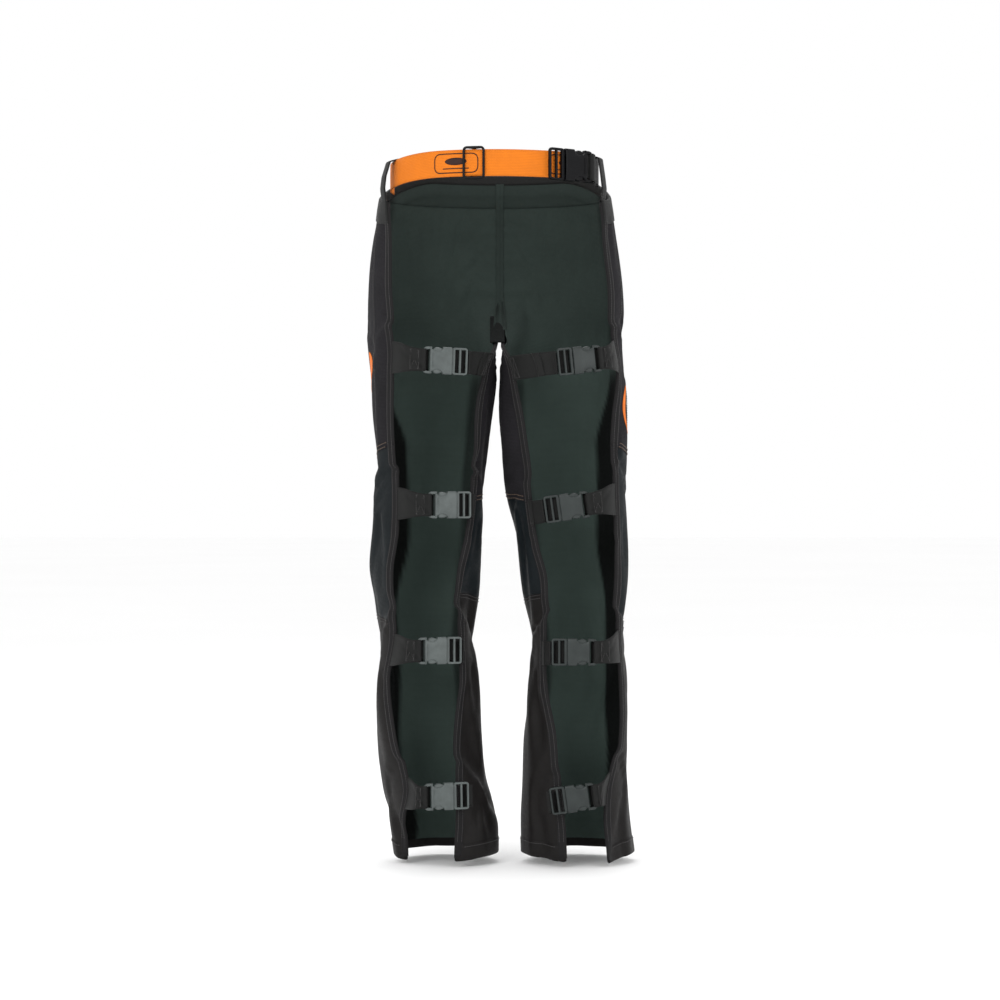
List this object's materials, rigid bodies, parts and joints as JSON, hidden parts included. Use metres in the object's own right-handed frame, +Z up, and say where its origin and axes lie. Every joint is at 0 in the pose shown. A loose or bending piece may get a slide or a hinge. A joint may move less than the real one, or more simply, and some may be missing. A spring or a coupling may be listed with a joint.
{
  "type": "chainsaw chaps",
  "caption": "Padded chainsaw chaps with an apron front, open-backed legs closed by buckled webbing straps, and a wide elastic waist belt with a side-release buckle.",
  "frame": {"origin": "middle of the belt ring, at the belt's mid-height; the chaps hang below it", "axes": "+Z up, +Y the way the wearer faces, so the open backs and the buckles face -Y; +X is the wearer's right"},
  "size_m": [0.3862, 0.235, 1.0144],
  "materials": {
    "outer_cloth": "matte woven polyester",
    "cut_pad": "loose knitted cut-resistant fibre",
    "lining": "thin matte mesh lining",
    "webbing": "ribbed woven webbing",
    "orange_elastic": "ribbed woven elastic",
    "strap_buckle": "satin moulded acetal",
    "belt_buckle": "satin moulded acetal"
  },
  "bodies": {
    "waist": {"waist_shell": "outer_cloth", "waist_pad": "cut_pad", "waist_lining": "lining", "waistband": "webbing", "belt_web": "orange_elastic", "belt_short_web": "webbing", "belt_socket": "belt_buckle", "belt_loop_left": "webbing", "belt_loop_right": "webbing"},
    "left_thigh": {"left_thigh_shell": "outer_cloth", "left_thigh_pad": "cut_pad", "left_thigh_lining": "lining", "left_strap_1_outer_web": "webbing", "left_strap_1_inner_web": "webbing", "left_strap_1_socket": "strap_buckle", "left_strap_2_outer_web": "webbing", "left_strap_2_inner_web": "webbing", "left_strap_2_socket": "strap_buckle"},
    "left_shin": {"left_shin_shell": "outer_cloth", "left_shin_pad": "cut_pad", "left_shin_lining": "lining", "left_strap_3_outer_web": "webbing", "left_strap_3_inner_web": "webbing", "left_strap_3_socket": "strap_buckle", "left_strap_4_outer_web": "webbing", "left_strap_4_inner_web": "webbing", "left_strap_4_socket": "strap_buckle"},
    "right_thigh": {"right_thigh_shell": "outer_cloth", "right_thigh_pad": "cut_pad", "right_thigh_lining": "lining", "right_strap_1_outer_web": "webbing", "right_strap_1_inner_web": "webbing", "right_strap_1_socket": "strap_buckle", "right_strap_2_outer_web": "webbing", "right_strap_2_inner_web": "webbing", "right_strap_2_socket": "strap_buckle"},
    "right_shin": {"right_shin_shell": "outer_cloth", "right_shin_pad": "cut_pad", "right_shin_lining": "lining", "right_strap_3_outer_web": "webbing", "right_strap_3_inner_web": "webbing", "right_strap_3_socket": "strap_buckle", "right_strap_4_outer_web": "webbing", "right_strap_4_inner_web": "webbing", "right_strap_4_socket": "strap_buckle"},
    "left_strap_1_prong": {"left_strap_1_prong": "strap_buckle"},
    "left_strap_2_prong": {"left_strap_2_prong": "strap_buckle"},
    "left_strap_3_prong": {"left_strap_3_prong": "strap_buckle"},
    "left_strap_4_prong": {"left_strap_4_prong": "strap_buckle"},
    "right_strap_1_prong": {"right_strap_1_prong": "strap_buckle"},
    "right_strap_2_prong": {"right_strap_2_prong": "strap_buckle"},
    "right_strap_3_prong": {"right_strap_3_prong": "strap_buckle"},
    "right_strap_4_prong": {"right_strap_4_prong": "strap_buckle"},
    "belt_prong": {"belt_prong": "belt_buckle"},
    "belt_slider": {"belt_slider": "belt_buckle"}
  },
  "joints": [
    {"name": "left_hip_fold", "type": "hinge", "parent": "waist", "child": "left_thigh", "pos_m": [0, 0.022, -0.16], "axis": [1, 0, 0], "range_deg": [-10, 30]},
    {"name": "left_knee_fold", "type": "hinge", "parent": "left_thigh", "child": "left_shin", "pos_m": [0, 0.012, -0.57], "axis": [-1, 0, 0], "range_deg": [0, 45]},
    {"name": "right_hip_fold", "type": "hinge", "parent": "waist", "child": "right_thigh", "pos_m": [0, 0.022, -0.16], "axis": [1, 0, 0], "range_deg": [-10, 30]},
    {"name": "right_knee_fold", "type": "hinge", "parent": "right_thigh", "child": "right_shin", "pos_m": [0, 0.012, -0.57], "axis": [-1, 0, 0], "range_deg": [0, 45]},
    {"name": "left_strap_1_unclip", "type": "slide", "parent": "left_thigh", "child": "left_strap_1_prong", "axis": [0.9757, 0.2162, -0.0349], "range_m": [0, 0.03]},
    {"name": "left_strap_2_unclip", "type": "slide", "parent": "left_thigh", "child": "left_strap_2_prong", "axis": [0.9365, 0.3507, 0], "range_m": [0, 0.03]},
    {"name": "left_strap_3_unclip", "type": "slide", "parent": "left_shin", "child": "left_strap_3_prong", "axis": [0.9544, 0.2984, 0], "range_m": [0, 0.03]},
    {"name": "left_strap_4_unclip", "type": "slide", "parent": "left_shin", "child": "left_strap_4_prong", "axis": [0.9797, 0.1996, 0.0175], "range_m": [0, 0.03]},
    {"name": "right_strap_1_unclip", "type": "slide", "parent": "right_thigh", "child": "right_strap_1_prong", "axis": [-0.9629, -0.2489, -0.1045], "range_m": [0, 0.03]},
    {"name": "right_strap_2_unclip", "type": "slide", "parent": "right_thigh", "child": "right_strap_2_prong", "axis": [-0.9886, 0.0575, -0.1392], "range_m": [0, 0.03]},
    {"name": "right_strap_3_unclip", "type": "slide", "parent": "right_shin", "child": "right_strap_3_prong", "axis": [-0.9956, 0.0936, 0], "range_m": [0, 0.03]},
    {"name": "right_strap_4_unclip", "type": "slide", "parent": "right_shin", "child": "right_strap_4_prong", "axis": [-0.9884, 0.0601, -0.1392], "range_m": [0, 0.03]},
    {"name": "belt_unclip", "type": "slide", "parent": "waist", "child": "belt_prong", "axis": [-0.8148, -0.5798, 0], "range_m": [0, 0.036]},
    {"name": "belt_adjust", "type": "hinge", "parent": "waist", "child": "belt_slider", "pos_m": [-0.0005, 0.0892, 0], "axis": [0, 0, 1], "range_deg": [-5, 6]}
  ]
}
